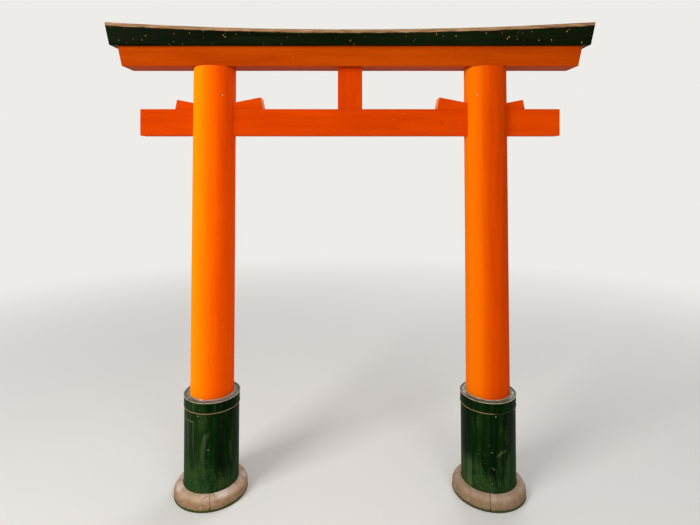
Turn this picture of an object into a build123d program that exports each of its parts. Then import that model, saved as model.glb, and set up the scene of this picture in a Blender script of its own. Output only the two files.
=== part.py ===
from build123d import *
import os
from math import cos, hypot, radians, sin, sqrt, tan

# A torii gate of the size that stands in close rows over a shrine path: two round posts that
# lean in and taper, a tie beam wedged through them, a centre strut and a double lintel. Each
# post stands in a dark sleeve packed with mortar, on a ring of four rounded foot stones.
# Millimetres: X runs across the gate, Y through it and Z up, from the ground between the posts.

# Posts
post_spacing = 1950.0           # centre to centre at the ground
post_base_diameter = 300.0
post_top_diameter = 290.0
post_lean = 0.5                 # degrees from upright, towards the other post
post_rim_bevel = 9.0            # taken off the rim under the lintel, measured level
post_rim_depth = 24.0           # and measured down the post
post_tenon_width = 90.0
post_tenon_height = 80.0

# Tie beam through both posts
tie_beam_underside = 2480.0     # above the ground
tie_beam_height = 185.0
tie_beam_thickness = 110.0
tie_beam_length = 2910.0

# Wedges driven over the tie beam from both sides of each post, ends cut square to their tops
wedge_height_at_post = 45.0
wedge_height_at_end = 85.0      # the inner wedge, over the far end of its foot
inner_wedge_reach = 203.0       # of its foot, from the post's face
outer_wedge_reach = 115.0
wedge_tip_gap = 8.0             # between the two tips inside the post

# Strut between the tie beam and the lintel
strut_width = 170.0
strut_thickness = 92.0
strut_height = 290.0            # clear height that shows
strut_tenon_width = 95.0
strut_tenon_thickness = 40.0
strut_tenon_length = 30.0

# Double lintel
lower_lintel_height = 140.0
lower_lintel_depth = 190.0
lower_lintel_length = 3130.0    # along its underside
upper_lintel_eave_height = 105.0    # of the front face, at mid-length
upper_lintel_depth = 242.0
upper_lintel_overhang = 45.0    # past the lower lintel's top, at each end
upper_lintel_upsweep = 52.0     # of the top edge, from mid-length to the ends
ridge_rise = 24.0               # of the pitched top, from the eaves to the ridge
end_slant = 12.0                # degrees from upright, the ends leaning out as they rise

# Sleeve round the foot of each post
sleeve_height = 690.0
sleeve_wall = 6.0
mortar_width = 31.0             # of the ring packed between the post and the sleeve
mortar_sink = 2.0               # its top lies this far below the sleeve's rim
band_height = 75.0
band_thickness = 2.5

# Foot stones
foot_ring_width = 64.0          # from the sleeve outwards
foot_ring_height = 88.0
foot_ring_round = 56.0          # radius of the rounded outer shoulder
shoulder_bevels = 5             # flats that make up the rounded shoulder
foot_ring_joint = 3.0           # open joint between two stones
foot_ring_turn = 12.8           # degrees that the joints are turned from straight ahead

# Fits
fit_clearance = 0.3             # between pieces that are slipped into or round each other
edge_easing = 4.0               # chamfer along the squared timbers
wedge_easing = 2.0
mortise_spare = 2.0             # depth left over beyond a blind tenon

# Levels and angles that follow
tie_beam_top = tie_beam_underside + tie_beam_height
post_top = tie_beam_top + strut_height
lower_lintel_top = post_top + lower_lintel_height
post_foot_radius = post_base_diameter / 2
sleeve_outer_radius = post_foot_radius + mortar_width + sleeve_wall
sleeve_inner_radius = sleeve_outer_radius - sleeve_wall
lean_slope = tan(radians(post_lean))
wedge_slope = (wedge_height_at_end - wedge_height_at_post) / inner_wedge_reach
slant_slope = tan(radians(end_slant))
overrun = 60.0                  # extra length on shapes that are cut back afterwards


def post_centre(level):
    """Distance of the right-hand post's axis from the middle of the gate, at a level."""
    return post_spacing / 2 - level * lean_slope


def post_radius(level):
    """The post's radius at a level: straight inside its sleeve, then evenly tapered to the top."""
    risen = max(0, level - sleeve_height) / (post_top - sleeve_height)
    return post_foot_radius - risen * (post_base_diameter - post_top_diameter) / 2


def turned(outline):
    """A closed outline of (radius, height) points, turned round the upright axis."""
    return revolve(Plane.XZ * make_face(Polyline(*outline, close=True)), Axis.Z)


def tube(inner, outer, low, high):
    """A round tube on the upright axis, between two radii and two levels."""
    return turned([(inner, low), (outer, low), (outer, high), (inner, high)])


def leaning(shape):
    """Stand an upright shape at the right-hand post's place, leaning in, cut off at the ground."""
    placed = Pos(post_spacing / 2, 0, 0) * Rot(0, -post_lean, 0) * shape
    return split(placed, bisect_by=Plane.XY, keep=Keep.TOP)


def elevation(points, thickness):
    """An outline of (x, z) points seen from the front, as thick as said about the mid-plane."""
    return extrude(Plane.XZ * make_face(Polyline(*points, close=True)), thickness / 2, both=True)


def wedge_height(distance):
    """A wedge's height at a distance from the post's axis; it thickens away from the post."""
    return wedge_height_at_post + wedge_slope * (distance - post_radius(tie_beam_top))


def tie_beam_mortise():
    """The slot through the right-hand post: the beam's section under a roof that opens to both
    sides, so that a wedge from each side fills it."""
    centre = post_centre(tie_beam_top)
    reach = post_radius(tie_beam_top) + overrun
    outline = [
        (centre - reach, tie_beam_underside),
        (centre + reach, tie_beam_underside),
        (centre + reach, tie_beam_top + wedge_height(reach)),
        (centre, tie_beam_top + wedge_height(0)),
        (centre - reach, tie_beam_top + wedge_height(reach)),
    ]
    return elevation(outline, tie_beam_thickness + 2 * fit_clearance)


def post():
    """The tapered round post, level at its foot and top, with its slot and its tenon."""
    shaft = leaning(turned([
        (0, -overrun),
        (post_foot_radius, -overrun),
        (post_foot_radius, sleeve_height),
        (post_radius(post_top + overrun), post_top + overrun),
        (0, post_top + overrun),
    ]))
    rim_radius = post_radius(post_top) - post_rim_bevel
    flare = post_top * post_rim_bevel / post_rim_depth
    level_top = turned([(0, 0), (rim_radius + flare, 0), (rim_radius, post_top), (0, post_top)])
    shaft = shaft & Pos(post_centre(post_top), 0, 0) * level_top
    tenon = Box(post_tenon_width, post_tenon_width, post_tenon_height)
    tenon_level = post_top + post_tenon_height / 2
    return shaft - tie_beam_mortise() + Pos(post_centre(post_top), 0, tenon_level) * tenon


def wedge(direction, reach):
    """A wedge on the tie beam's top; direction is 1 on the post's outer side, -1 on its inner."""
    centre = post_centre(tie_beam_top)
    tip = wedge_tip_gap / 2
    end = post_radius(tie_beam_top) + reach
    end_rise = wedge_height(end) / (1 + wedge_slope ** 2)
    outline = [
        (centre + direction * tip, tie_beam_top),
        (centre + direction * end, tie_beam_top),
        (centre + direction * (end - wedge_slope * end_rise), tie_beam_top + end_rise),
        (centre + direction * tip, tie_beam_top + wedge_height(tip)),
    ]
    body = elevation(outline, tie_beam_thickness)
    end_face = body.faces().sort_by(Axis.X)[-1 if direction > 0 else 0]
    eased = end_face.edges().sort_by(Axis.Z)[1:]
    return chamfer(eased, wedge_easing)


def strut_socket(level):
    """The blind mortise for a strut tenon, centred on the level of the face that it opens in."""
    width = strut_tenon_width + 2 * fit_clearance
    thickness = strut_tenon_thickness + 2 * fit_clearance
    return Pos(0, 0, level) * Box(width, thickness, 2 * (strut_tenon_length + mortise_spare))


def tie_beam():
    """The squared tie beam with eased edges, and the strut's mortise in its top."""
    beam = Box(tie_beam_length, tie_beam_thickness, tie_beam_height)
    beam = chamfer(beam.edges(), edge_easing)
    return Pos(0, 0, (tie_beam_underside + tie_beam_top) / 2) * beam - strut_socket(tie_beam_top)


def centre_strut():
    """The strut, with a tenon into the tie beam and one into the lower lintel."""
    body = Box(strut_width, strut_thickness, strut_height)
    body = chamfer(body.edges().filter_by(Axis.Z), edge_easing)
    tenon_span = strut_height + 2 * strut_tenon_length
    body += Box(strut_tenon_width, strut_tenon_thickness, tenon_span)
    return Pos(0, 0, (tie_beam_top + post_top) / 2) * body


def lower_lintel():
    """The straight lower lintel with raked ends, mortised for both posts and the strut."""
    foot = lower_lintel_length / 2
    head = foot + lower_lintel_height * slant_slope
    outline = [(-foot, post_top), (foot, post_top), (head, lower_lintel_top), (-head, lower_lintel_top)]
    beam = elevation(outline, lower_lintel_depth)
    beam = chamfer(beam.edges(), edge_easing) - strut_socket(post_top)
    width = post_tenon_width + 2 * fit_clearance
    socket = Box(width, width, 2 * (post_tenon_height + mortise_spare))
    for side in (-1, 1):
        beam -= Pos(side * post_centre(post_top), 0, post_top) * socket
    return beam


def upper_lintel():
    """The capping lintel: level below, with a top edge that sweeps up to both ends on one arc,
    a pitched top of two slopes that follow that arc, and raked ends."""
    foot = lower_lintel_length / 2 + lower_lintel_height * slant_slope + upper_lintel_overhang
    reach = foot + (upper_lintel_eave_height + ridge_rise + upper_lintel_upsweep) * slant_slope
    arc_radius = (reach ** 2 + upper_lintel_upsweep ** 2) / (2 * upper_lintel_upsweep)
    block_end = reach + overrun
    eave = lower_lintel_top + upper_lintel_eave_height
    eave_end = eave + arc_radius - sqrt(arc_radius ** 2 - block_end ** 2)
    edge = ThreePointArc((-block_end, eave_end), (0, eave), (block_end, eave_end))
    sides = Polyline(
        (block_end, eave_end),
        (block_end, lower_lintel_top),
        (-block_end, lower_lintel_top),
        (-block_end, eave_end),
    )
    face = Plane.XZ * make_face(edge + sides)
    half_depth = upper_lintel_depth / 2
    slope_length = hypot(half_depth, ridge_rise)
    beam = extrude(face, half_depth, both=True)
    front_slope = extrude(Pos(0, -half_depth, 0) * face, slope_length, dir=(0, half_depth, ridge_rise))
    beam = beam + front_slope + mirror(front_slope, about=Plane.XZ)
    for side in (-1, 1):
        end_cut = Plane(origin=(side * foot, 0, lower_lintel_top), z_dir=(side, 0, -slant_slope))
        beam = split(beam, bisect_by=end_cut, keep=Keep.BOTTOM)
    return beam


def sleeve():
    """The thin round sleeve that stands round the foot of the post."""
    return leaning(tube(sleeve_inner_radius, sleeve_outer_radius, -overrun, sleeve_height))


def sleeve_band():
    """The band round the top of the sleeve."""
    inner = sleeve_outer_radius + fit_clearance
    foot = sleeve_height - band_height
    return leaning(tube(inner, inner + band_thickness, foot, sleeve_height))


def sleeve_mortar():
    """The mortar packed between the post and the sleeve, just short of the sleeve's rim."""
    inner = post_foot_radius + fit_clearance
    outer = sleeve_inner_radius - fit_clearance
    return leaning(tube(inner, outer, -overrun, sleeve_height - mortar_sink))


def foot_stones():
    """The rounded ring round the sleeve's foot, cut into four stones by two crossing joints."""
    outer = sleeve_outer_radius + foot_ring_width
    inner = sleeve_outer_radius - overrun
    shoulder = []
    for step in range(shoulder_bevels + 1):
        turn = radians(90 * step / shoulder_bevels)
        across = outer - foot_ring_round * (1 - cos(turn))
        shoulder.append((across, foot_ring_height - foot_ring_round * (1 - sin(turn))))
    ring = turned([(inner, 0), (outer, 0), *shoulder, (inner, foot_ring_height)])
    bore = Cylinder(sleeve_outer_radius + fit_clearance, 2 * sleeve_height)
    ring = Pos(post_spacing / 2, 0, 0) * ring - leaning(bore)
    span = 2 * outer + overrun
    cross = Box(foot_ring_joint, span, span) + Box(span, foot_ring_joint, span)
    ring -= Pos(post_spacing / 2, 0, 0) * Rot(0, 0, -foot_ring_turn) * cross
    stones = {}
    for stone in ring.solids():
        middle = stone.center()
        depth_side = "front" if middle.Y < 0 else "back"
        width_side = "outer" if middle.X > post_spacing / 2 else "inner"
        stones[f"foot_stone_{depth_side}_{width_side}"] = stone
    return stones


def one_side():
    """Every piece of the right-hand post, by name."""
    pieces = {
        "post": post(),
        "inner_wedge": wedge(-1, inner_wedge_reach),
        "outer_wedge": wedge(1, outer_wedge_reach),
        "sleeve": sleeve(),
        "sleeve_band": sleeve_band(),
        "sleeve_mortar": sleeve_mortar(),
    }
    pieces.update(foot_stones())
    return pieces


def gate():
    """All pieces of the gate by node name; the left-hand side mirrors the right-hand one."""
    pieces = {
        "tie_beam": tie_beam(),
        "centre_strut": centre_strut(),
        "lower_lintel": lower_lintel(),
        "upper_lintel": upper_lintel(),
    }
    for name, shape in one_side().items():
        pieces["right_" + name] = shape
        pieces["left_" + name] = mirror(shape, about=Plane.YZ)
    return pieces


os.makedirs("parts", exist_ok=True)
for node, shape in gate().items():
    export_step(shape, f"parts/{node}.step")
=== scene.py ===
import bmesh
import bpy
import numpy as np
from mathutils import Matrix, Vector


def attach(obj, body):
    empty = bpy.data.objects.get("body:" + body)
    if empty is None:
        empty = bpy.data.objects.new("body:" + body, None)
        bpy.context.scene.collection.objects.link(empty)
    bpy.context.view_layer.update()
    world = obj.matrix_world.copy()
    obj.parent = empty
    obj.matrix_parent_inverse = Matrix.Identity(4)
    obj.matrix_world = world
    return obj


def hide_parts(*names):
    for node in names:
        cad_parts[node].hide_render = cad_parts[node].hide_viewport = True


# The looks of a torii gate: painted round posts in dark sleeves on rounded stones, squared and
# wedged beams, and a black capping lintel. Metres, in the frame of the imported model.

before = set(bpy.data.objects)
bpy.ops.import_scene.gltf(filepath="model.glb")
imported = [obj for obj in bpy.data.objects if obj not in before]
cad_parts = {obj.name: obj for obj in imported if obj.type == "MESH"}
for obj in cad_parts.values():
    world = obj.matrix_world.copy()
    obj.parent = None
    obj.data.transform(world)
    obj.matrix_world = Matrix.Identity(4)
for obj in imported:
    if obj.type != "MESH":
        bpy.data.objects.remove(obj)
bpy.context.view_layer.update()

# Sizes that the solids have
POST_SPACING = 1.950
POST_FOOT_RADIUS = 0.150
POST_HEAD_RADIUS = 0.145
LEAN = np.radians(0.5)
BEAM_FOOT, BEAM_TOP = 2.480, 2.665
BEAM_THICKNESS, BEAM_LENGTH = 0.110, 2.910
WEDGE_AT_POST, WEDGE_TIP = 0.045, 0.004
INNER_REACH, OUTER_REACH = 0.203, 0.115
WEDGE_SLOPE = (0.085 - WEDGE_AT_POST) / INNER_REACH
POST_TOP = 2.955
STRUT_WIDTH, STRUT_THICKNESS = 0.170, 0.092
LOWER_DEPTH, LOWER_LENGTH, LOWER_TOP = 0.190, 3.130, 3.095
UPPER_DEPTH, UPPER_OVERHANG, EAVE = 0.242, 0.045, 0.105
UPSWEEP, RIDGE = 0.052, 0.024
END_SLANT = np.tan(np.radians(12.0))
SLEEVE_TOP, SLEEVE_RADIUS, SLEEVE_WALL = 0.690, 0.187, 0.006
BAND_HEIGHT, BAND_RADIUS = 0.075, 0.1898
STONE_RADIUS, STONE_HEIGHT, STONE_ROUND = 0.251, 0.088, 0.056
STONE_TURN = np.radians(12.8)
SLOT_HALF = BEAM_THICKNESS / 2 + 0.0003

# Where the leaning pieces' profiles start, before they are cut level with the ground
SUNK = -0.004


# Shapes

def swell(seed, depth, *terms, waves=7):
    """A soft unevenness: the mean of sine waves with seeded phases, each running over the given
    arrays. A term is an array and the quickest whole wave number that it may have."""
    draw = np.random.default_rng(seed)
    total = 0.0
    for _ in range(waves):
        phase = draw.uniform(0, 2 * np.pi)
        for values, quickest in terms:
            phase = phase + values * draw.integers(-quickest, quickest + 1)
        total = total + np.sin(phase)
    return depth * total / waves


def closed_mesh(name, grids):
    """A closed mesh from grids of points, each a surface over two parameters. Points that fall
    together are joined, and a quad that a pole folds keeps the corners that still differ."""
    quads, used = [], 0
    for grid in grids:
        index = used + np.arange(grid[..., 0].size).reshape(grid.shape[:2])
        corners = (index[:-1, :-1], index[1:, :-1], index[1:, 1:], index[:-1, 1:])
        quads.append(np.stack(corners, -1).reshape(-1, 4))
        used += index.size
    points = np.concatenate([grid.reshape(-1, 3) for grid in grids])
    _, first, joined = np.unique(
        np.round(points * 2e5).astype(np.int64), axis=0, return_index=True, return_inverse=True)
    quads = joined.reshape(-1)[np.concatenate(quads)]
    differs = quads != np.roll(quads, 1, axis=1)
    whole = differs.sum(1) > 2
    quads, differs = quads[whole], differs[whole]
    sides = differs.sum(1)
    mesh = bpy.data.meshes.new(name)
    mesh.vertices.add(len(first))
    mesh.vertices.foreach_set("co", points[first].ravel())
    mesh.loops.add(int(sides.sum()))
    mesh.loops.foreach_set("vertex_index", quads[differs].astype(np.int32))
    mesh.polygons.add(len(sides))
    mesh.polygons.foreach_set("loop_start", (np.cumsum(sides) - sides).astype(np.int32))
    mesh.update(calc_edges=True)
    return mesh


def face_outwards(mesh):
    """Turn all faces of a closed mesh one way, and that way is out where the signed volume, the
    sum of the prisms from each face to the origin, comes out above zero."""
    shell = bmesh.new()
    shell.from_mesh(mesh)
    bmesh.ops.recalc_face_normals(shell, faces=shell.faces[:])
    if shell.calc_volume(signed=True) < 0:
        bmesh.ops.reverse_faces(shell, faces=shell.faces[:])
    shell.to_mesh(mesh)
    shell.free()


def piece(name, grids, finish, slot, *replaced):
    """A finished piece that rides on the gate: grids made one closed mesh, smooth between sharp
    edges, with its finish. It takes the place of the nodes named in replaced. slot is not used."""
    mesh = closed_mesh(name, grids)
    face_outwards(mesh)
    made = bpy.data.objects.new(name, mesh)
    bpy.context.scene.collection.objects.link(made)
    mesh.shade_smooth()
    mesh.set_sharp_from_angle(angle=np.radians(40))
    mesh.materials.append(finish)
    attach(made, "root")
    if replaced:
        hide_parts(*replaced)
    return made


def post_centre(level):
    """How far the post's axis is from mid-gate at a level."""
    return POST_SPACING / 2 - level * np.tan(LEAN)


def post_radius(level):
    """Straight inside the sleeve, then an even taper to the head."""
    risen = np.maximum(0, level - SLEEVE_TOP) / (POST_TOP - SLEEVE_TOP)
    return POST_FOOT_RADIUS - risen * (POST_FOOT_RADIUS - POST_HEAD_RADIUS)


def leaning(side, radius, turn, height):
    """Points at a radius, turn and height about the post's axis, stood at one side of the gate:
    the axis tips inwards by LEAN, and what would go into the ground ends level with it."""
    across = radius * np.cos(turn)
    x = side * (POST_SPACING / 2 + across * np.cos(LEAN) - height * np.sin(LEAN))
    z = np.maximum(0, height * np.cos(LEAN) + across * np.sin(LEAN))
    return np.stack(np.broadcast_arrays(x, radius * np.sin(turn), z), -1)


def post_shaft(side):
    """Over (level, turn): the taper, less shallow flutes left by the plane that run up the post,
    with a head rounded as a quarter ellipse. The turn's stops match the slot's edges on both
    sides, the quads inside its two windows are left out, and four walls join the windows."""
    slot_steps = 8
    edge = np.arcsin(SLOT_HALF / post_radius(BEAM_TOP))
    quarter = np.concatenate(
        [np.linspace(0, edge, slot_steps + 1), np.linspace(edge, np.pi / 2, 25)[1:]])
    half = np.concatenate([-quarter[::-1], quarter[1:]])
    turn = np.concatenate([half, half[1:] + np.pi])
    roof = BEAM_TOP + WEDGE_AT_POST
    rim, drawn_in = 0.024, 0.009
    bend = np.linspace(0, 1, 7)[1:] * np.pi / 2
    level = np.concatenate([
        np.linspace(0, SLEEVE_TOP, 6), np.linspace(SLEEVE_TOP, BEAM_FOOT, 60)[1:],
        np.linspace(BEAM_FOOT, roof, 9)[1:], np.linspace(roof, POST_TOP - rim, 9)[1:],
        POST_TOP - rim + rim * np.sin(bend)])[:, None]
    radius = post_radius(level) - drawn_in * (
        1 - np.sqrt(1 - np.clip((level - POST_TOP + rim) / rim, 0, 1) ** 2))
    show = np.clip((level - SLEEVE_TOP) / 0.08, 0, 1)
    flutes = swell(31 + side, 0.0007, (turn, 21), (level, 1), waves=9)
    bow = swell(41 + side, 0.0012, (turn, 2), (level, 3), waves=4)
    radius = radius + show * (flutes + bow - 0.0006)
    points = np.stack(np.broadcast_arrays(
        side * (post_centre(level) + radius * np.cos(turn)), radius * np.sin(turn), level), -1)
    low, high = np.searchsorted(level[:, 0], [BEAM_FOOT - 1e-6, roof - 1e-6])
    middle = len(quarter) - 1
    # The stops at the slot's edges, a and b on one side of the post, c and d on the other
    a, b = middle - slot_steps, middle + slot_steps
    c, d = a + len(half) - 1, b + len(half) - 1
    band = points[low:high + 1]
    axis = np.zeros((1, len(turn), 3))
    axis[..., 0] = side * post_centre(np.array([0.0]))
    foot = np.concatenate([axis, points[:1]])
    axis[..., 0], axis[..., 2] = side * post_centre(POST_TOP), POST_TOP
    head = np.concatenate([points[-1:], axis])
    return [
        points[:low + 1], points[high:], foot, head, band[:, :a + 1], band[:, b:c + 1], band[:, d:],
        np.stack([band[0, a:b + 1], band[0, c:d + 1][::-1]]),
        np.stack([band[-1, a:b + 1], band[-1, c:d + 1][::-1]]),
        np.stack([band[:, a], band[:, d]]),
        np.stack([band[:, b], band[:, c]]),
    ]


def stops(half, rounding, cell):
    """Stops across a timber: even between its rounded edges, at even angles round each edge."""
    flat = half - rounding
    even = np.linspace(-flat, flat, 2 * max(1, round(flat / cell)) + 1)
    edge = flat + rounding * np.tan(np.radians([15, 30, 45]))
    return np.concatenate([-edge[::-1], even, edge])


def timber(seed, length, thickness, height, rounding, cells=(0.02, 0.012, 0.012), planed=0.0006):
    """The six faces of a squared timber about the origin. Each point of the block is moved onto
    a box with round edges: the nearest point of the box less its rounding, plus the rounding
    along the way out from there. A soft swell along that way is what the plane left."""
    half = np.array([length, thickness, height]) / 2
    lines = [stops(h, rounding, cell) for h, cell in zip(half, cells)]
    faces = []
    for axis in range(3):
        first, second = (axis + 1) % 3, (axis + 2) % 3
        for end in (0, -1):
            block = np.empty((len(lines[first]), len(lines[second]), 3))
            block[..., axis] = lines[axis][end]
            block[..., first] = lines[first][:, None]
            block[..., second] = lines[second]
            core = np.clip(block, rounding - half, half - rounding)
            out = block - core
            out /= np.linalg.norm(out, axis=-1, keepdims=True)
            wave = swell(seed, planed, (block[..., 0], 9), (block[..., 1], 30), (block[..., 2], 30))
            faces.append(core + out * (rounding + wave[..., None]))
    return faces


def tie_beam():
    """The squared beam through both posts."""
    beam = timber(51, BEAM_LENGTH, BEAM_THICKNESS, BEAM_TOP - BEAM_FOOT, 0.0045)
    return [face + (0, 0, (BEAM_FOOT + BEAM_TOP) / 2) for face in beam]


def centre_strut():
    """The short upright on the tie beam."""
    strut = timber(52, STRUT_WIDTH, STRUT_THICKNESS, POST_TOP - BEAM_TOP, 0.004, (0.012,) * 3)
    return [face + (0, 0, (POST_TOP + BEAM_TOP) / 2) for face in strut]


def wedge(side, outward, reach, seed):
    """A block whose top climbs by WEDGE_SLOPE away from the post and whose far end is square to
    that top: a point goes to its share of the wedge's height there, and comes back by the slope
    times that height times its share of the length. outward is 1 outside the post."""
    radius = post_radius(BEAM_TOP)
    long, tall = radius + reach - WEDGE_TIP, 0.08
    block = timber(seed, long, BEAM_THICKNESS, tall, 0.003, planed=0.0004)
    for face in block:
        along = face[..., 0] / long + 0.5
        distance = WEDGE_TIP + along * long
        height = WEDGE_AT_POST + WEDGE_SLOPE * (distance - radius)
        height = height / (1 + WEDGE_SLOPE ** 2 * along)
        rise = (face[..., 2] / tall + 0.5) * height
        distance = distance - WEDGE_SLOPE * rise * along
        face[..., 0] = side * (post_centre(BEAM_TOP) + outward * distance)
        face[..., 2] = BEAM_TOP + rise
    return block


def lower_lintel():
    """A timber whose length grows evenly from its underside to its top, so the ends are raked."""
    height = LOWER_TOP - POST_TOP
    beam = timber(53, LOWER_LENGTH, LOWER_DEPTH, height, 0.0045)
    for face in beam:
        risen = face[..., 2] + height / 2
        face[..., 0] *= 1 + risen * END_SLANT / (LOWER_LENGTH / 2)
        face[..., 2] += (POST_TOP + LOWER_TOP) / 2
    return beam


def upper_lintel():
    """A timber with a level underside. Its top follows one wide arc that lifts the ends, plus a
    ridge that falls evenly to both eaves, and the length grows with the height."""
    foot = LOWER_LENGTH / 2 + (LOWER_TOP - POST_TOP) * END_SLANT + UPPER_OVERHANG
    reach = foot + (EAVE + RIDGE + UPSWEEP) * END_SLANT
    arc = (reach ** 2 + UPSWEEP ** 2) / (2 * UPSWEEP)
    beam = timber(54, 2 * foot, UPPER_DEPTH, EAVE, 0.0045, (0.02, 0.012, 0.012), 0.0008)
    for face in beam:
        share = face[..., 2] / EAVE + 0.5
        sweep = arc - np.sqrt(arc ** 2 - face[..., 0] ** 2)
        pitch = RIDGE * (1 - abs(face[..., 1]) / (UPPER_DEPTH / 2))
        height = share * (EAVE + sweep + pitch)
        face[..., 0] *= 1 + height * END_SLANT / foot
        face[..., 2] = LOWER_TOP + height
    return beam


def turned(side, profile, turns=145, uneven=None):
    """A closed profile of (radius, height) carried round the leaning axis of one post; uneven
    gives what is added to radius and height over (turn, radius, height)."""
    turn = np.linspace(0, 2 * np.pi, turns)[:, None]
    radius, height = np.array(profile + profile[:1]).T
    if uneven:
        more, lift = uneven(turn, radius, height)
        radius, height = radius + more, height + lift
    return [leaning(side, radius, turn, height)]


def arc_points(centre, radius, start, end, count):
    """Points (radius, height) round a small arc of a profile, angles in degrees."""
    angle = np.radians(np.linspace(start, end, count))
    return [(centre[0] + radius * c, centre[1] + radius * s)
            for c, s in zip(np.cos(angle), np.sin(angle))]


def sleeve(side):
    """A thin tube; its wall wavers by a millimetre up and round, which shows in the gloss."""
    inner, outer = SLEEVE_RADIUS - SLEEVE_WALL, SLEEVE_RADIUS
    lip = SLEEVE_WALL / 2
    profile = [(outer, h) for h in np.linspace(SUNK, SLEEVE_TOP - lip, 44)]
    profile += arc_points((outer - lip, SLEEVE_TOP - lip), lip, 0, 180, 9)[1:]
    profile += [(inner, h) for h in np.linspace(SLEEVE_TOP - lip, SUNK, 12)[1:]]

    def uneven(turn, radius, height):
        inside = np.clip((SLEEVE_TOP - BAND_HEIGHT - height) / 0.05, 0, 1)
        inside = inside * np.clip((height - STONE_HEIGHT) / 0.05, 0, 1)
        wave = swell(61 + side, 0.0016, (turn, 9), (height, 6))
        return inside * (wave - 0.0004), 0.0

    return turned(side, profile, uneven=uneven)


def sleeve_band(side):
    """A flat strip with a small groove under its rim, carried round the top of the sleeve."""
    inner, outer, groove = SLEEVE_RADIUS + 0.0003, BAND_RADIUS, BAND_RADIUS - 0.0016
    foot, top = SLEEVE_TOP - BAND_HEIGHT, SLEEVE_TOP
    profile = [(inner, foot + 0.001), (inner + 0.001, foot), (outer - 0.001, foot)]
    profile += [(outer, h) for h in np.linspace(foot + 0.001, top - 0.0115, 9)]
    profile += [(outer - 0.0004, top - 0.0105), (groove, top - 0.0098), (groove, top - 0.002),
                (inner + 0.0004, top - 0.0012), (inner, top - 0.003)]

    def uneven(turn, radius, height):
        return swell(71 + side, 0.0005, (turn, 7), (height, 20)), 0.0

    return turned(side, profile, uneven=uneven)


def bead(side, radius, height, half_width, half_height, seed):
    """A thin bead round the post: an ellipse about (radius, height), a little thick and thin."""
    angle = np.linspace(0, 2 * np.pi, 13)[:-1]
    profile = list(zip(radius + half_width * np.cos(angle), height + half_height * np.sin(angle)))

    def uneven(turn, ring, level):
        wave = 1 + swell(seed + side, 0.35, (turn, 9))
        return (ring - radius) * (wave - 1), swell(seed + 9 + side, 0.0004, (turn, 7))

    return turned(side, profile, 193, uneven)


def mortar(side):
    """A ring whose trowelled top dips in the middle and climbs to the post in a small fillet."""
    inner, outer = POST_FOOT_RADIUS + 0.0001, SLEEVE_RADIUS - SLEEVE_WALL - 0.0002
    top = SLEEVE_TOP - 0.0025
    share = np.linspace(0, 1, 15)
    dip = 0.006 * np.exp(-share * 9) - 0.0022 * np.sin(np.pi * share)
    profile = [(inner + s * (outer - inner), top + d) for s, d in zip(share, dip)]
    profile += [(outer, h) for h in (0.6, 0.3, SUNK)] + [(inner, h) for h in (SUNK, 0.3, 0.6)]

    def uneven(turn, radius, height):
        share = (radius - inner) / (outer - inner)
        on_top, at_post = height > 0.65, share < 0.1
        between = np.clip(share * 8, 0, 1) * np.clip((1 - share) * 8, 0, 1)
        lump = swell(81 + side, 0.0030, (turn, 19), (share, 5), waves=9)
        creep = swell(85 + side, 0.003, (turn, 15))
        return 0.0, on_top * (between * lump + at_post * creep)

    return turned(side, profile, 193, uneven)


def foot_stone(side, quarter, seed):
    """One of the four stones, over (along, round): the ring's section carried through a quarter
    turn less half a joint at each end. Its edges are worn round: near each end the section draws
    in by e(1 - cos a) where the distance from the end is e(1 - sin a)."""
    worn, half_joint = {-1: (0.002, 0.0006), 1: (0.003, 0.001)}[side]
    inner, flat = SLEEVE_RADIUS + 0.0012, STONE_RADIUS - STONE_ROUND
    foot, cells = 0.004, 40
    outline = [(r, 0.0) for r in np.linspace(inner, STONE_RADIUS - foot, 8)]
    outline += arc_points((STONE_RADIUS - foot, foot), foot, -90, 0, 5)[1:]
    outline += [(STONE_RADIUS, h) for h in np.linspace(foot, STONE_HEIGHT - STONE_ROUND, 4)[1:]]
    outline += arc_points((flat, STONE_HEIGHT - STONE_ROUND), STONE_ROUND, 0, 90, 19)[1:]
    outline += [(flat - 0.003, STONE_HEIGHT)]
    outline += arc_points((inner + 0.003, STONE_HEIGHT - 0.003), 0.003, 90, 180, 4)
    outline += [(inner, h) for h in (0.06, 0.03)]
    outline = np.array(outline)
    ahead = np.roll(outline, -1, 0) - np.roll(outline, 1, 0)
    inward = np.stack([-ahead[:, 1], ahead[:, 0]], -1)
    inward /= np.linalg.norm(inward, axis=1, keepdims=True)
    angle = np.linspace(np.pi / 2, 0, 6)
    near_end = worn * (1 - np.sin(angle))
    draw_in = worn * (1 - np.cos(angle))
    length = STONE_RADIUS * np.pi / 2
    along = np.concatenate([near_end, np.linspace(worn, length - worn, cells + 2)[1:-1],
                            (length - near_end)[::-1]])
    inset = np.concatenate([draw_in, np.zeros(cells), draw_in[::-1]])[:, None, None]
    section = outline + inset * inward
    radius, height = section[..., 0], section[..., 1]
    start = STONE_TURN + quarter * np.pi / 2
    gap = half_joint / radius
    turn = start + gap + (along / length)[:, None] * (np.pi / 2 - 2 * gap)
    wave = swell(seed, 0.0024, (turn, 19), (height, 60), (radius, 40), waves=9) - 0.0015
    shown = np.clip((height - 0.002) / 0.01, 0, 1) * np.clip((radius - inner) / 0.01, 0, 1)
    radius = radius - shown * wave * inward[:, 0]
    height = np.maximum(0, height - shown * wave * inward[:, 1])
    points = np.stack([side * (POST_SPACING / 2 + radius * np.cos(turn)),
                       -radius * np.sin(turn), height], -1)
    points = np.concatenate([points, points[:, :1]], 1)
    ends = [np.stack([edge, np.broadcast_to(edge[:-1].mean(0), edge.shape)])
            for edge in (points[0], points[-1])]
    return [points, *ends]


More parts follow.
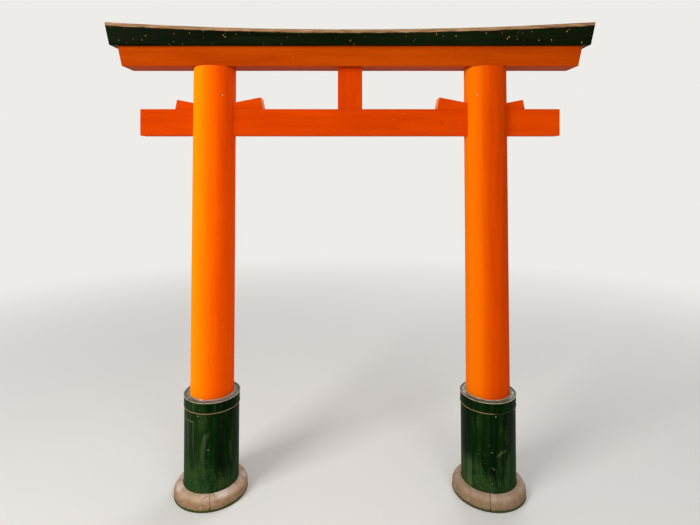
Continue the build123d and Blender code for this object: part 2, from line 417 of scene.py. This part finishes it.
def nail(side):
    """The head of a nail in the front of the post, above the inner wedge: a ball, half sunk."""
    turn, rise = np.meshgrid(np.linspace(0, 2 * np.pi, 17), np.linspace(0, np.pi, 9))
    size, above_beam, inwards = 0.0045, 0.089, 0.62
    level = BEAM_TOP + above_beam
    spot = np.array([side * (post_centre(level) - np.sin(inwards) * post_radius(level)),
                     -np.cos(inwards) * post_radius(level), level])
    ball = np.stack([np.sin(rise) * np.cos(turn), np.sin(rise) * np.sin(turn), np.cos(rise)], -1)
    return [spot + ball * size]


# Finishes

class Shade:
    """One socket of a tree of shader nodes. Arithmetic on it adds Math nodes, and node() adds
    any other node: settings first, then values or links for its sockets."""

    def __init__(self, tree, socket=None):
        self.tree, self.socket = tree, socket

    def node(self, kind, sockets, output=0, **settings):
        made = self.tree.nodes.new("ShaderNode" + kind)
        for setting, value in settings.items():
            setattr(made, setting, value)
        for socket, value in sockets.items():
            if isinstance(value, Shade):
                self.tree.links.new(value.socket, made.inputs[socket])
            else:
                made.inputs[socket].default_value = value
        return Shade(self.tree, made.outputs[output]) if made.outputs else None

    def math(self, operation, *values):
        return self.node("Math", dict(enumerate(values)), operation=operation)

    def __add__(self, other):
        return self.math("ADD", self, other)

    def __sub__(self, other):
        return self.math("SUBTRACT", self, other)

    def __rsub__(self, other):
        return self.math("SUBTRACT", other, self)

    def __mul__(self, other):
        return self.math("MULTIPLY", self, other)

    def __truediv__(self, other):
        return self.math("DIVIDE", self, other)

    def __pow__(self, other):
        return self.math("POWER", self, other)

    def __abs__(self):
        return self.math("ABSOLUTE", self)

    __radd__, __rmul__ = __add__, __mul__

    def either(self, other):
        return self.math("MAXIMUM", self, other)

    def step(self, low, high):
        """0 below low, 1 above high, smooth between, and the other way round if high < low."""
        sockets = {"Value": self, "From Min": min(low, high), "From Max": max(low, high)}
        rise = self.node("MapRange", sockets, interpolation_type="SMOOTHSTEP")
        return rise if low < high else 1 - rise

    def axis(self, name):
        return self.node("SeparateXYZ", {0: self}, output=name)

    def times(self, *scale):
        return self.node("VectorMath", {0: self, 1: scale}, operation="MULTIPLY")

    def moved(self, offset):
        return self.node("VectorMath", {0: self, 1: offset}, operation="ADD")

    def noise(self, detail=2.0, rough=0.5, twist=0.0):
        return self.node("TexNoise", {"Vector": self, "Scale": 1.0, "Detail": detail,
                                      "Roughness": rough, "Distortion": twist})

    def cells(self, output="Distance", feature="F1"):
        return self.node("TexVoronoi", {"Vector": self, "Scale": 1.0}, output, feature=feature)

    def between(self, first, second):
        """Two colours mixed by this share."""
        return self.node("Mix", {0: self, 6: first, 7: second}, output=2, data_type="RGBA")

    def bump(self, distance, strength=1.0):
        return self.node("Bump", {"Height": self, "Distance": distance, "Strength": strength})


def tint(red, green, blue):
    """A colour given in the 0 to 255 of a picture, as the linear light that a shader works in."""
    share = np.array([red, green, blue]) / 255
    linear = np.where(share > 0.04045, ((share + 0.055) / 1.055) ** 2.4, share / 12.92)
    return (*(float(value) for value in linear), 1.0)


def bare_material(name):
    """A material with no nodes but the Object coordinates, and those."""
    material = bpy.data.materials.new(name)
    material.use_nodes = True
    material.node_tree.nodes.clear()
    return material, Shade(material.node_tree).node("TexCoord", {}, output="Object")


def finish(name, surface, **constants):
    """A material. surface takes the Object coordinates and gives the sockets that vary."""
    material, at = bare_material(name)
    coat = at.node("BsdfPrincipled", {**constants, **surface(at)})
    at.node("OutputMaterial", {"Surface": coat})
    return material


def speckle(at, size, share):
    """Small round spots of about this size; share is how many of the cells hold one."""
    spread = at.times(1 / size, 1 / size, 1 / size)
    chosen = spread.cells("Color").axis("X").step(1 - share, 1 - share + 0.01)
    return spread.cells().step(0.32, 0.18) * chosen


# The dark and the light of the paint. For a post also the colour painted on its side towards -X
# as painted sunlight, and the X of the surface's direction where that starts and is full.
TONES = {
    "post": ((236, 74, 1), (246, 88, 1), (255, 152, 2), 0.68, -1.34),
    # The far post, beam and lintel tones are darker copies of this vermilion: painted shade.
    "far post": ((198, 60, 1), (213, 71, 1), (244, 116, 1), 0.0, -0.95),
    "beam": ((194, 55, 1), (210, 66, 1)),
    "lintel": ((164, 54, 1), (182, 67, 2)),
}


def vermilion(along, seed, tone="beam", pale=0.0, marked=False):
    """Vermilion paint over planed timber: broad soft bands and fine hairs that run along it,
    dust on what faces up, and paint that has shrunk over the grain, as a low bump. tone is one
    of TONES, pale says how much paler tops and ends are painted, a painted light, and marked
    adds the tie beam's short crack and its row of fine scratches."""
    stretch = {"x": (1, 12, 12), "z": (12, 12, 1)}[along]
    dark, light, *sun = TONES[tone]

    def surface(at):
        x, z = at.axis("X"), at.axis("Z")
        at = at.moved((seed, seed * 0.7, seed * 0.3))
        broad = at.times(*(0.6 * s for s in stretch)).noise(2)
        bands = at.times(*(2.5 * s for s in stretch)).noise(3, 0.6)
        hairs = at.times(*(14 * s for s in stretch)).noise(4, 0.65)
        cloud = at.times(1.7, 1.7, 1.7).noise(3)
        facing = at.node("NewGeometry", {}, output="Normal")
        dust = facing.axis("Z").step(0.5, 0.95) * at.times(30, 30, 30).noise(4, 0.7).step(0.35, 0.7)
        shade = 0.5 * broad + 0.3 * bands + 0.2 * cloud
        colour = shade.step(0.36, 0.64).between(tint(*dark), tint(*light))
        # The post's side towards -X is painted lighter and yellower: painted sunlight.
        if sun:
            painted_sunlight, start, full = sun
            sunny = facing.axis("X") - (shade - 0.5) * 0.3
            colour = sunny.step(start, full).between(colour, tint(*painted_sunlight))
        # Tops and ends painted paler: painted light.
        if pale:
            aside = abs(facing.axis("Y")).step(0.9, 0.3) * facing.axis("Z").step(-0.5, -0.1)
            colour = (aside * pale).between(colour, tint(252, 158, 104))
        colour = (hairs.step(0.55, 0.8) * 0.3).between(colour, tint(190, 48, 1))
        colour = (dust * 0.5).between(colour, tint(236, 138, 92))
        pocks = speckle(at, 0.022, 0.006) * 0.3
        colour = pocks.between(colour, tint(255, 172, 112))
        height = hairs * 0.5 + bands
        if marked:
            front = facing.axis("Y").step(-0.5, -0.8)
            crack_x, crack_up, crack_lean = 0.635, 0.086, 0.7
            row_x, row_up, row_slope = 0.47, 0.122, 0.06
            rise = z - (BEAM_FOOT + crack_up)
            crack = abs(x - crack_x + rise * crack_lean).step(0.0035, 0.0012)
            crack = crack * abs(rise).step(0.015, 0.008)
            row = abs(z - (BEAM_FOOT + row_up) - (x - row_x) * row_slope + (hairs - 0.5) * 0.01)
            dots = at.times(90, 20, 60).noise(2, 0.6).step(0.46, 0.6)
            row = row.step(0.005, 0.001) * abs(x - row_x).step(0.13, 0.08) * dots
            colour = (crack * front * 0.9).between(colour, tint(60, 22, 6))
            colour = (row * front * 0.75).between(colour, tint(140, 38, 4))
            height = height - crack * front
        return {
            "Base Color": colour,
            "Roughness": 0.42 + 0.14 * bands + 0.3 * dust,
            "Normal": height.bump(0.0008, 0.35),
        }

    return finish(f"vermilion_{along}_{seed}", surface, **{
        "Specular IOR Level": 0.012, "Specular Tint": (1.0, 0.5, 0.05, 1.0)})


def black_lintel_paint():
    """Black paint with a green cast. Its top and the top edge of its faces, along the upswept line,
    are painted tan, a painted reflection of the sky, rougher and bumpier there. What faces up is
    also mossy, and bits of leaf cling to it."""
    half_length = 1.68

    def surface(at):
        x = at.axis("X")
        grain = at.times(6, 90, 90).noise(4, 0.6)
        bands = at.times(1.5, 20, 20).noise(3)
        up = at.node("NewGeometry", {}, output="Normal").axis("Z")
        patch = at.times(9, 9, 9).noise(5, 0.65)
        colour = bands.step(0.35, 0.65).between(tint(5, 9, 2), tint(13, 22, 6))
        colour = (grain.step(0.6, 0.8) * 0.5).between(colour, tint(30, 42, 20))
        below = LOWER_TOP + EAVE + x * x * (UPSWEEP / half_length ** 2) - at.axis("Z")
        # strip: the top and the top edge of the faces, painted tan as a painted reflection of the
        # sky.
        strip = (below + (patch - 0.5) * 0.016).step(0.027, 0.019) * up.step(-0.5, -0.2)
        tan = grain.step(0.35, 0.65).between(tint(134, 96, 64), tint(182, 140, 104))
        colour = (strip * 0.92).between(colour, tan)
        moss = up.step(0.4, 0.9) * patch.step(0.4, 0.58)
        colour = (moss * 0.8).between(colour, grain.between(tint(40, 52, 24), tint(104, 104, 60)))
        ragged = at.times(80, 80, 80).node("TexNoise", {"Detail": 2.0}, output="Color")
        leaf = at.times(1, 1.6, 0.55).moved(ragged.times(0.02, 0.02, 0.02))
        for shift, hue in ((0.0, (196, 148, 52)), (0.37, (176, 84, 30)), (0.71, (96, 116, 52))):
            fleck = speckle(leaf.moved((shift, 0, shift)), 0.012, 0.03) * (1 - strip)
            fleck = fleck * (below + patch * 0.05).step(0.03, 0.09)
            colour = (fleck * 0.75).between(colour, tint(*hue))
        return {
            "Base Color": colour,
            "Roughness": 0.4 + 0.14 * bands + 0.35 * strip,
            "Normal": (grain + patch * strip * 2).bump(0.001, 0.5),
        }

    return finish("black_lintel_paint", surface, **{
        "Specular IOR Level": 0.03, "Specular Tint": (0.5, 0.8, 0.35, 1.0)})


# The brightest spots in front on each sleeve: metres across from its middle, height and colour
SPOTS = {
    -1: ((-0.044, 0.600, (168, 160, 116)), (0.025, 0.376, (140, 132, 100))),
    1: ((0.001, 0.598, (150, 156, 136)), (-0.026, 0.358, (118, 136, 106)),
        (-0.010, 0.245, (112, 106, 82)), (-0.020, 0.255, (96, 96, 70))),
}


def left_marks(across, height, streak, fine, bloom):
    """Marks in front on the left sleeve, as shares and colours: its outer half painted a little
    lighter and greener as painted light from that side, a soft pale smear that bends outwards as
    it falls, a faint line with two runs below it, and two upright seams of the band."""
    # The outer half lighter: painted light.
    marks = [(across.step(0.010, -0.014) * (0.06 + streak * 0.15), (52, 86, 36))]
    bend = height.math("EXPONENT", (height - 0.486) / 0.07) * 0.038
    smear = abs(across + 0.019 - bend + (bloom - 0.5) * 0.02).step(0.028, 0.0)
    smear = smear * height.step(0.23, 0.38) * bloom.step(0.3, 0.6)
    marks.append((smear * height.step(0.51, 0.46) * (0.3 + streak * 0.65), (70, 88, 54)))
    line = abs(height - 0.554 + (fine - 0.5) * 0.006).step(0.007, 0.002)
    line = line * across.step(-0.062, -0.08) * fine.step(0.2, 0.5)
    marks.append((line * 0.6, (88, 100, 62)))
    for place, width, depth in ((-0.08, 0.010, 0.5), (-0.123, 0.013, 0.35)):
        run = abs(across - place + (bloom - 0.5) * 0.01).step(width, 0.0)
        run = run * height.step(0.555, 0.535) * height.step(0.22, 0.52)
        marks.append((run * fine.step(0.2, 0.5) * depth, (70, 96, 58)))
    seam = abs(across + 0.079).step(0.004, 0.001) + abs(across - 0.071).step(0.004, 0.0) * 0.4
    seam = seam * height.step(0.612, 0.618) * streak.step(0.2, 0.5)
    marks.append((seam * 0.5, (84, 108, 72)))
    return marks


def right_marks(across, height, streak, fine):
    """Marks in front on the right sleeve, as shares and colours: a paler strip low down at its
    inner edge, and a slanting yellowish scratch with a shorter one beside it."""
    edge = across + (streak - 0.5) * 0.012
    strip = edge.step(-0.137, -0.145) * (0.35 + 0.65 * edge.step(-0.172, -0.160))
    marks = [(strip * height.step(0.33, 0.22) * 0.55, (70, 96, 56))]
    for place, rise, slope, reach, depth in (
            (0.031, 0.348, 0.79, 0.027, 0.8), (0.063, 0.359, 0.93, 0.012, 0.5)):
        scratch = abs(height - rise - (across - place) * slope).step(0.012, 0.001)
        scratch = scratch * abs(across - place).step(reach, reach * 0.3)
        marks.append((scratch * (0.3 + fine) * depth, (98, 110, 54)))
    return marks


def sleeve_paint(side, seed):
    """Half-gloss green-black paint with upright streaks, algae that thicken to the foot and
    pale flecks splashed up from the ground. Each side has its own marks in front."""
    mid_height = 0.35

    def surface(at):
        height = at.axis("Z")
        across = at.axis("X") - side * float(post_centre(mid_height))
        front = at.axis("Y").step(0.0, -0.03)
        facing = at.node("NewGeometry", {}, output="Normal").axis("X")
        at = at.moved((seed, seed, 0))
        streak = at.times(26, 26, 1.1).noise(3, 0.6)
        fine = at.times(110, 110, 3).noise(3, 0.6)
        bloom = at.times(15, 15, 4.5).noise(5, 0.65)
        low = height.step(0.40, 0.06)
        outer = (facing * side).step(0.1, 0.9) * height.step(0.45, 0.2)
        grown = bloom + low * 0.24 + outer * 0.18 + streak * 0.25
        algae = grown.step({-1: 0.62, 1: 0.66}[side], 0.92)
        colour = streak.step(0.35, 0.68).between(tint(4, 18, 3), tint(11, 34, 8))
        colour = (fine.step(0.55, 0.8) * 0.3).between(colour, tint(28, 50, 20))
        colour = (algae * 0.7).between(colour, bloom.step(0.4, 0.7).between(
            tint(30, 62, 32), tint(52, 70, 28)))
        if side < 0:
            marks = left_marks(across, height, streak, fine, bloom)
        else:
            marks = right_marks(across, height, streak, fine)
        for place, rise, hue in SPOTS[side]:
            distance = ((across - place) ** 2 + (height - rise) ** 2) ** 0.5
            marks.append(((distance + (fine - 0.5) * 0.003).step(0.0052, 0.0028) * 0.85, hue))
        for mark, hue in marks:
            colour = (mark * front).between(colour, tint(*hue))
        grains = at.times(190, 190, 130).noise(3, 0.7).step(0.52, 0.74) * height.step(0.32, 0.1)
        colour = (grains * 0.4).between(colour, tint(76, 92, 56))
        flecks = speckle(at, 0.011, 0.03) * 0.35
        splashed = speckle(at.times(1, 1, 0.8), 0.0075, 0.25) * low * bloom.step(0.38, 0.55)
        colour = flecks.either(splashed * 0.65).between(colour, tint(128, 142, 102))
        return {
            "Base Color": colour,
            "Roughness": 0.34 + 0.16 * streak + 0.25 * algae,
            "Normal": (streak + fine * 0.3 + algae * 0.5).bump(0.0012, 0.4),
        }

    return finish(f"sleeve_paint_{seed}", surface, **{
        "Specular IOR Level": 0.03, "Specular Tint": (0.3, 0.8, 0.25, 1.0)})


def rim_metal():
    """The worn rim: pale grey-brown where paint is gone, darker where it has stayed."""
    def surface(at):
        patch = at.times(11, 11, 11).noise(4, 0.6)
        worn = patch.step(0.32, 0.54)
        return {
            "Base Color": worn.between(tint(108, 104, 80), tint(172, 160, 142)),
            "Roughness": 0.45 + 0.2 * patch,
            "Metallic": 0.15 * worn,
            "Normal": patch.bump(0.001, 0.4),
        }

    return finish("rim_metal", surface, **{"Specular IOR Level": 0.3})


def hem_metal(side):
    """The brassy hem of the band: bare and tan in patches where it is rubbed, grown dark green
    between. In front a tan painted highlight runs along it: all across on the left sleeve, and on
    the right one it goes dark past the middle and comes back faintly near its end."""
    def surface(at):
        across = at.axis("X") - side * float(post_centre(SLEEVE_TOP - BAND_HEIGHT))
        patch = at.times(9, 9, 9).noise(4, 0.6)
        # In front the tan is a painted highlight on the bead.
        painted_highlight = 1.0 if side < 0 else across.step(0.02, -0.045) + across.step(0.12, 0.15) * 0.5
        front = at.axis("Y").step(0.03, -0.03)
        bare_and_highlight = front * painted_highlight + (1 - front) * patch.step(0.36, 0.62)
        bare_and_highlight = bare_and_highlight * patch.step(0.24, 0.36)
        fine = at.times(160, 160, 160).noise(3)
        return {
            "Base Color": bare_and_highlight.between(tint(22, 38, 20), tint(158, 132, 88)),
            "Roughness": 0.45 + 0.25 * fine,
            "Metallic": 0.3 * bare_and_highlight,
            "Normal": fine.bump(0.0006, 0.4),
        }

    return finish(f"hem_metal_{side + 2}", surface, **{"Specular IOR Level": 0.2})


def mortar_finish(side):
    """Trowelled mortar, wet in patches: grey, rosy in places and grown green in others, with a
    pale line where it meets the post and a painted shadow beside that, and some white grains. On
    the right more of it is green."""
    green_from = {-1: 0.5, 1: 0.4}[side]

    def surface(at):
        away = abs(at.axis("X")) - float(post_centre(SLEEVE_TOP))
        radius = (away * away + at.axis("Y") ** 2) ** 0.5 - POST_FOOT_RADIUS
        patch = at.times(9, 9, 9).noise(4, 0.6)
        rosy = at.times(7, 7, 7).noise(3, 0.6, 0.5)
        sand = at.times(420, 420, 420).noise(3, 0.7)
        damp = patch.step(green_from, green_from + 0.1)
        colour = sand.between(tint(94, 90, 80), tint(126, 120, 108))
        colour = (rosy.step(0.52, 0.64) * 0.4).between(colour, tint(146, 124, 114))
        colour = (damp * 0.8).between(colour, rosy.between(tint(50, 70, 42), tint(86, 104, 78)))
        shadow = abs(radius - 0.0075).step(0.004, 0.001)
        colour = (shadow * 0.4).between(colour, tint(72, 66, 66))
        colour = (radius.step(0.0048, 0.0026) * 0.5).between(colour, tint(184, 158, 142))
        spots = speckle(at, 0.016, 0.06)
        colour = (spots * 0.8).between(colour, tint(226, 220, 214))
        return {
            "Base Color": colour,
            "Roughness": 0.55 - 0.32 * patch.step(0.4, 0.55),
            "Normal": (sand * 0.3 + patch).bump(0.0014, 0.5),
        }

    return finish(f"mortar_finish_{side + 2}", surface)


def stone_finish(side):
    """Fine beige granite with a pink cast: cloudy, lighter where it faces up, grained with dark and
    light specks, whitish in patches where it faces up, with hairline cracks, darker and browner
    towards its foot, and a thin dark green line round its foot, moss and painted shade where it
    meets the ground, with moss at the foot of its joints. The stones on the right are darker and
    plainer."""
    dark, light, chalk, fleck, split = {
        -1: ((148, 113, 78), (194, 162, 136), 0.6, 0.55, 0.75),
        1: ((134, 107, 80), (170, 143, 118), 0.2, 0.3, 0.2),
    }[side]

    def surface(at):
        height = at.axis("Z")
        out, ahead = at.axis("X") * side - POST_SPACING / 2, at.axis("Y") * -1
        along, aside = float(np.cos(STONE_TURN)), float(np.sin(STONE_TURN))
        from_joints = (abs(out * along + ahead * aside), abs(ahead * along - out * aside))
        by_joint, by_other = (distance.step(0.010, 0.003) for distance in from_joints)
        beside = by_joint.either(by_other)
        cloud = at.times(7, 7, 7).noise(4, 0.6)
        mottle = at.times(34, 34, 34).noise(5, 0.7)
        grit = at.times(520, 520, 520).noise(2, 0.6)
        up = at.node("NewGeometry", {}, output="Normal").axis("Z").step(0.1, 0.95)
        # Lighter where it faces up.
        lighter_facing_up = (up * 0.75 + (cloud - 0.5) * 1.6).step(0.05, 0.95)
        colour = lighter_facing_up.between(tint(*dark), tint(*light))
        white = up.step(0.55, 0.95) * at.times(10, 10, 10).noise(3, 0.6).step(0.5, 0.66)
        colour = (white * chalk).between(colour, tint(226, 210, 204))
        colour = (mottle.step(0.5, 0.72) * fleck).between(colour, tint(204, 182, 156))
        colour = (mottle.step(0.46, 0.3) * 0.45).between(colour, tint(120, 98, 74))
        colour = (grit.step(0.62, 0.72) * 0.4).between(colour, tint(84, 72, 62))
        colour = (grit.step(0.4, 0.3) * 0.3).between(colour, tint(216, 202, 188))
        crack = at.times(6, 6, 6).cells(feature="DISTANCE_TO_EDGE")
        crack = (crack + (mottle - 0.5) * 0.02).step(0.014, 0.004)
        crack = crack * cloud.step(0.48, 0.58) * split
        colour = crack.between(colour, tint(74, 60, 50))
        edge = height - 0.022 * at.times(7, 7, 7).noise(4, 0.7)
        # Round the foot this dark line is moss and painted shade where the stone meets the ground;
        # beside the joints it is moss.
        moss = edge.step(0.009, 0.003).either(beside * edge.step(0.026, 0.010) * 0.8)
        green = at.times(140, 140, 140).noise(3, 0.7)
        colour = (edge.step(0.04, 0.0) * 0.35).between(colour, tint(104, 92, 56))
        colour = (moss * 0.95).between(colour, green.step(0.35, 0.7).between(
            tint(18, 32, 10), tint(66, 84, 30)))
        return {
            "Base Color": colour,
            "Roughness": 0.78 + 0.15 * mottle,
            "Normal": (mottle + grit * 0.25 + moss * green * 2 - crack).bump(0.0018, 0.7),
        }

    return finish(f"stone_finish_{side + 2}", surface, **{"Specular IOR Level": 0.25})


def nail_metal():
    """Dull zinc on a nail head."""
    def surface(at):
        patch = at.times(600, 600, 600).noise(3)
        return {"Base Color": patch.between(tint(150, 140, 128), tint(214, 206, 196)),
                "Roughness": 0.35 + 0.2 * patch, "Metallic": 0.6 * patch}

    return finish("nail_metal", surface)


# The gate

black = black_lintel_paint()
rim, zinc = rim_metal(), nail_metal()
WOOD = "vermilion_wood"

piece("tie_beam_timber", tie_beam(), vermilion("x", 3, marked=True), WOOD, "tie_beam")
piece("centre_strut_timber", centre_strut(), vermilion("z", 4, pale=0.5), WOOD, "centre_strut")
piece("lower_lintel_timber", lower_lintel(), vermilion("x", 6, "lintel"), WOOD, "lower_lintel")
piece("upper_lintel_timber", upper_lintel(), black, "black_wood", "upper_lintel")
for name, side in (("left", -1), ("right", 1)):
    post_paint = vermilion("z", 8 + side, {-1: "post", 1: "far post"}[side])
    wedge_paint = vermilion("x", 12 + side, pale=0.9)
    grout, stone = mortar_finish(side), stone_finish(side)
    piece(f"{name}_post_shaft", post_shaft(side), post_paint, WOOD, f"{name}_post")
    piece(f"{name}_inner_wedge_timber", wedge(side, -1, INNER_REACH, 91 + side), wedge_paint, WOOD,
          f"{name}_inner_wedge")
    piece(f"{name}_outer_wedge_timber", wedge(side, 1, OUTER_REACH, 95 + side), wedge_paint, WOOD,
          f"{name}_outer_wedge")
    piece(f"{name}_sleeve_wall", sleeve(side), sleeve_paint(side, 14 + side), "sleeve_metal",
          f"{name}_sleeve")
    piece(f"{name}_band_strip", sleeve_band(side), sleeve_paint(side, 21 + side), "band_metal",
          f"{name}_sleeve_band")
    rim_bead = bead(side, BAND_RADIUS - 0.0011, SLEEVE_TOP - 0.0023, 0.0036, 0.0027, 101)
    hem_bead = bead(side, BAND_RADIUS, SLEEVE_TOP - BAND_HEIGHT + 0.003, 0.0018, 0.0020, 111)
    piece(f"{name}_band_rim", rim_bead, rim, "band_metal")
    piece(f"{name}_band_hem", hem_bead, hem_metal(side), "band_metal")
    piece(f"{name}_mortar_ring", mortar(side), grout, "mortar", f"{name}_sleeve_mortar")
    piece(f"{name}_nail_head", nail(side), zinc, WOOD)
    for count, quarter in enumerate(("front_outer", "front_inner", "back_inner", "back_outer")):
        piece(f"{name}_stone_{quarter}", foot_stone(side, count, 121 + 4 * side + count), stone,
              "foot_stone", f"{name}_foot_stone_{quarter}")


# The studio

def floor_disc():
    """Points over (ring, turn) of a wide flat disc, just under the gate's feet."""
    level = -0.0005
    ring = np.array([1e-4, 1, 3, 6, 10, 16, 26, 60, 200])[:, None]
    turn = np.linspace(0, 2 * np.pi, 65)
    return np.stack(np.broadcast_arrays(ring * np.cos(turn), ring * np.sin(turn), level), -1)


BACKDROP = tint(238, 236, 232)


def seen(at):
    """1 for rays from the camera, from a glossy surface or through glass."""
    rays = [at.node("LightPath", {}, output=kind)
            for kind in ("Is Camera Ray", "Is Glossy Ray", "Is Transmission Ray")]
    return rays[0].either(rays[1]).either(rays[2])


def floor_finish():
    """Pale matt floor that turns into the plain backdrop far from the gate."""
    material, at = bare_material("studio_floor")
    away = at.node("VectorMath", {0: at}, output="Value", operation="LENGTH")
    matt = at.node("BsdfDiffuse", {"Color": tint(232, 230, 226)})
    plain = at.node("Emission", {"Color": BACKDROP, "Strength": 1.0})
    factor = away.step(2.5, 9.0) * seen(at)
    mixed = at.node("MixShader", {0: factor, 1: matt, 2: plain})
    at.node("OutputMaterial", {"Surface": mixed})
    return material


floor = bpy.data.objects.new("studio_floor", closed_mesh("studio_floor", [floor_disc()]))
bpy.context.scene.collection.objects.link(floor)
floor.data.materials.append(floor_finish())

world = bpy.data.worlds.new("studio")
bpy.context.scene.world = world
world.use_nodes = True
world.node_tree.nodes.clear()
start = Shade(world.node_tree)
soft = start.node("Background", {"Color": (1.0, 1.0, 1.0, 1.0), "Strength": 0.38})
shown = start.node("Background", {"Color": BACKDROP, "Strength": 1.0})
lit = start.node("MixShader", {0: seen(start), 1: soft, 2: shown})
start.node("OutputWorld", {"Surface": lit})


def lamp(name, place, aim, size, power):
    """A square soft light at a place, turned to shine at a point."""
    light = bpy.data.lights.new(name, "AREA")
    light.size, light.energy = size, power
    made = bpy.data.objects.new(name, light)
    bpy.context.scene.collection.objects.link(made)
    made.location = place
    way = Vector(aim) - Vector(place)
    made.rotation_euler = way.to_track_quat("-Z", "Y").to_euler()


lamp("key", (-5.6, -5.2, 5.4), (0, 0, 1.6), 3.5, 480)
lamp("fill", (2.4, -5.6, 3.2), (0, 0, 1.4), 3.0, 105)
lamp("back", (2.5, 6.0, 6.0), (0, 0, 1.8), 4.0, 170)

# Level, from where the photograph was taken: 3.52 m before mid-gate and 2.30 m up. Its field is
# wider and reaches higher than the photograph's, so that the whole gate is in it.
SENSOR, FOCAL_PIXELS, PICTURE_WIDTH = 36.0, 500, 700
camera = bpy.data.cameras.new("view")
camera.lens = SENSOR * FOCAL_PIXELS / PICTURE_WIDTH
camera.shift_y = -0.144
eye = bpy.data.objects.new("view", camera)
bpy.context.scene.collection.objects.link(eye)
eye.location = (0.0, -3.52, 2.30)
eye.rotation_euler = (np.pi / 2, 0, 0)
bpy.context.scene.camera = eye
bpy.context.scene.view_settings.view_transform = "Standard"
